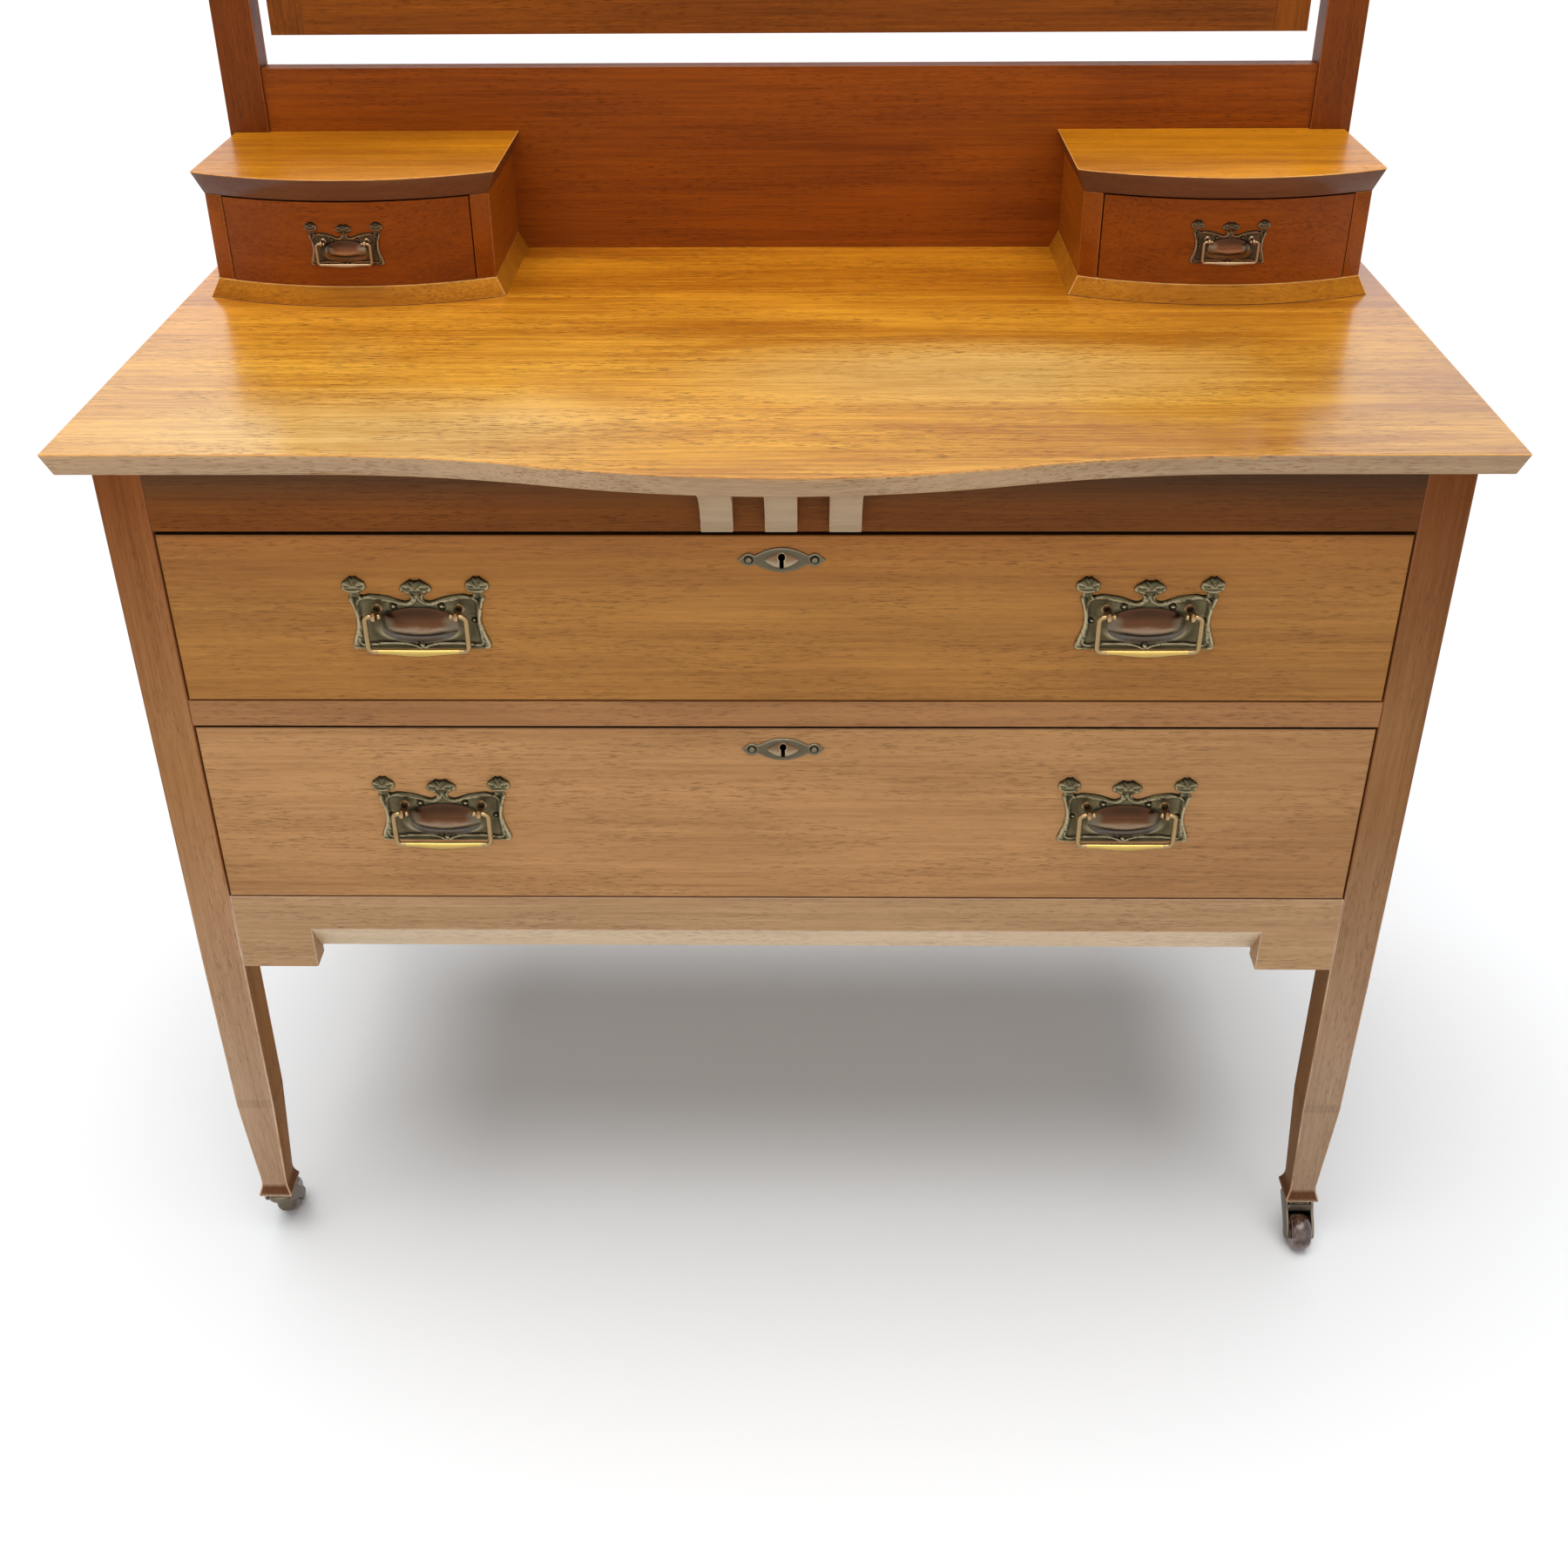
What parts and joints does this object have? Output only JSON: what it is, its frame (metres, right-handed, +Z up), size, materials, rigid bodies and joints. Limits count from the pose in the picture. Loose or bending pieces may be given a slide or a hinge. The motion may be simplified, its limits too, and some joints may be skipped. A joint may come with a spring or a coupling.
{
  "type": "dressing chest",
  "caption": "Dressing chest: bow-fronted chest of long drawers on tapered castored legs, with jewel boxes on top and a swing mirror between uprights",
  "frame": {"origin": "on the floor, under the middle of the object's bounding box", "axes": "+X to the right seen from the front, -Y out of the drawer fronts, +Z up"},
  "size_m": [1.067, 0.5669, 1.62],
  "materials": {
    "case_wood": "waxed satin, fine grain",
    "top_wood": "french polished, glossy",
    "gallery_wood": "french polished, satin",
    "drawer_wood": "french polished, satin",
    "corbel_wood": "worn, matt",
    "inner_wood": "bare, matt",
    "handle_brass": "antique patina",
    "bail_brass": "worn bright on the grip",
    "bronze": "dull grey-brown patina",
    "lock_brass": "dull",
    "castor_metal": "dark patina",
    "castor_wheel": "brown glaze",
    "mirror": "bevelled, silvered"
  },
  "bodies": {
    "carcase": {"front_leg_left": "case_wood", "front_leg_right": "case_wood", "back_leg_left": "case_wood", "back_leg_right": "case_wood", "side_panels": "case_wood", "side_rails": "case_wood", "back_rails": "case_wood", "back_boards": "inner_wood", "frieze_rail": "gallery_wood", "middle_rail": "case_wood", "apron_rail": "case_wood", "frieze_corbels": "corbel_wood", "drawer_runners": "inner_wood", "drawer_stops": "inner_wood", "chest_top": "top_wood", "jewel_bases": "gallery_wood", "jewel_sides": "gallery_wood", "jewel_lids": "gallery_wood", "upright_left": "gallery_wood", "upright_right": "gallery_wood", "splash_board": "gallery_wood", "castor_sockets": "castor_metal"},
    "upper_drawer": {"upper_drawer_front": "drawer_wood", "upper_drawer_box": "inner_wood", "upper_drawer_bottom": "inner_wood", "upper_drawer_escutcheon": "bronze", "upper_drawer_lock": "lock_brass", "upper_drawer_handles": "handle_brass"},
    "upper_drawer_bolt": {"upper_drawer_lock_bolt": "lock_brass"},
    "upper_drawer_bail_left": {"upper_drawer_bail_left": "bail_brass"},
    "upper_drawer_bail_right": {"upper_drawer_bail_right": "bail_brass"},
    "lower_drawer": {"lower_drawer_front": "drawer_wood", "lower_drawer_box": "inner_wood", "lower_drawer_bottom": "inner_wood", "lower_drawer_escutcheon": "bronze", "lower_drawer_lock": "lock_brass", "lower_drawer_handles": "handle_brass"},
    "lower_drawer_bolt": {"lower_drawer_lock_bolt": "lock_brass"},
    "lower_drawer_bail_left": {"lower_drawer_bail_left": "bail_brass"},
    "lower_drawer_bail_right": {"lower_drawer_bail_right": "bail_brass"},
    "left_jewel_drawer": {"left_jewel_drawer_front": "gallery_wood", "left_jewel_drawer_box": "inner_wood", "left_jewel_handle": "handle_brass"},
    "left_jewel_bail": {"left_jewel_bail": "bail_brass"},
    "right_jewel_drawer": {"right_jewel_drawer_front": "gallery_wood", "right_jewel_drawer_box": "inner_wood", "right_jewel_handle": "handle_brass"},
    "right_jewel_bail": {"right_jewel_bail": "bail_brass"},
    "mirror": {"mirror_frame": "gallery_wood", "mirror_glass": "mirror", "mirror_back_board": "inner_wood", "mirror_pivots": "lock_brass"},
    "castor_front_left_horn": {"castor_front_left_horn": "castor_metal"},
    "castor_front_left_wheel": {"castor_front_left_wheel": "castor_wheel"},
    "castor_front_right_horn": {"castor_front_right_horn": "castor_metal"},
    "castor_front_right_wheel": {"castor_front_right_wheel": "castor_wheel"},
    "castor_back_left_horn": {"castor_back_left_horn": "castor_metal"},
    "castor_back_left_wheel": {"castor_back_left_wheel": "castor_wheel"},
    "castor_back_right_horn": {"castor_back_right_horn": "castor_metal"},
    "castor_back_right_wheel": {"castor_back_right_wheel": "castor_wheel"}
  },
  "joints": [
    {"name": "upper_drawer_slide", "type": "slide", "parent": "carcase", "child": "upper_drawer", "axis": [0, -1, 0], "range_m": [0, 0.33]},
    {"name": "upper_drawer_bolt_throw", "type": "slide", "parent": "upper_drawer", "child": "upper_drawer_bolt", "axis": [0, 0, 1], "range_m": [0, 0.007]},
    {"name": "upper_drawer_bail_left_swing", "type": "hinge", "parent": "upper_drawer", "child": "upper_drawer_bail_left", "pos_m": [-0.2785, -0.2365, 0.6896], "axis": [-1, 0, 0], "range_deg": [0, 90]},
    {"name": "upper_drawer_bail_right_swing", "type": "hinge", "parent": "upper_drawer", "child": "upper_drawer_bail_right", "pos_m": [0.2785, -0.2365, 0.6896], "axis": [-1, 0, 0], "range_deg": [0, 90]},
    {"name": "lower_drawer_slide", "type": "slide", "parent": "carcase", "child": "lower_drawer", "axis": [0, -1, 0], "range_m": [0, 0.33]},
    {"name": "lower_drawer_bolt_throw", "type": "slide", "parent": "lower_drawer", "child": "lower_drawer_bolt", "axis": [0, 0, 1], "range_m": [0, 0.007]},
    {"name": "lower_drawer_bail_left_swing", "type": "hinge", "parent": "lower_drawer", "child": "lower_drawer_bail_left", "pos_m": [-0.2785, -0.2365, 0.5078], "axis": [-1, 0, 0], "range_deg": [0, 90]},
    {"name": "lower_drawer_bail_right_swing", "type": "hinge", "parent": "lower_drawer", "child": "lower_drawer_bail_right", "pos_m": [0.2785, -0.2365, 0.5078], "axis": [-1, 0, 0], "range_deg": [0, 90]},
    {"name": "left_jewel_drawer_slide", "type": "slide", "parent": "carcase", "child": "left_jewel_drawer", "axis": [0, -1, 0], "range_m": [0, 0.085]},
    {"name": "left_jewel_bail_swing", "type": "hinge", "parent": "left_jewel_drawer", "child": "left_jewel_bail", "pos_m": [-0.3805, 0.0821, 0.8806], "axis": [-1, 0, 0], "range_deg": [0, 90]},
    {"name": "right_jewel_drawer_slide", "type": "slide", "parent": "carcase", "child": "right_jewel_drawer", "axis": [0, -1, 0], "range_m": [0, 0.085]},
    {"name": "right_jewel_bail_swing", "type": "hinge", "parent": "right_jewel_drawer", "child": "right_jewel_bail", "pos_m": [0.3805, 0.0821, 0.8806], "axis": [-1, 0, 0], "range_deg": [0, 90]},
    {"name": "mirror_tilt", "type": "hinge", "parent": "carcase", "child": "mirror", "pos_m": [0, 0.2665, 1.338], "axis": [1, 0, 0], "range_deg": [-35, 20]},
    {"name": "castor_front_left_swivel", "type": "hinge", "parent": "carcase", "child": "castor_front_left_horn", "pos_m": [-0.489, -0.2045, 0.047], "axis": [0, 0, 1], "continuous": true},
    {"name": "castor_front_left_roll", "type": "hinge", "parent": "castor_front_left_horn", "child": "castor_front_left_wheel", "pos_m": [-0.489, -0.1835, 0.017], "axis": [1, 0, 0], "continuous": true},
    {"name": "castor_front_right_swivel", "type": "hinge", "parent": "carcase", "child": "castor_front_right_horn", "pos_m": [0.489, -0.2045, 0.047], "axis": [0, 0, 1], "continuous": true},
    {"name": "castor_front_right_roll", "type": "hinge", "parent": "castor_front_right_horn", "child": "castor_front_right_wheel", "pos_m": [0.489, -0.2255, 0.017], "axis": [1, 0, 0], "continuous": true},
    {"name": "castor_back_left_swivel", "type": "hinge", "parent": "carcase", "child": "castor_back_left_horn", "pos_m": [-0.489, 0.2595, 0.047], "axis": [0, 0, 1], "continuous": true},
    {"name": "castor_back_left_roll", "type": "hinge", "parent": "castor_back_left_horn", "child": "castor_back_left_wheel", "pos_m": [-0.468, 0.2595, 0.017], "axis": [0, 1, 0], "continuous": true},
    {"name": "castor_back_right_swivel", "type": "hinge", "parent": "carcase", "child": "castor_back_right_horn", "pos_m": [0.489, 0.2595, 0.047], "axis": [0, 0, 1], "continuous": true},
    {"name": "castor_back_right_roll", "type": "hinge", "parent": "castor_back_right_horn", "child": "castor_back_right_wheel", "pos_m": [0.468, 0.2595, 0.017], "axis": [0, 1, 0], "continuous": true}
  ]
}
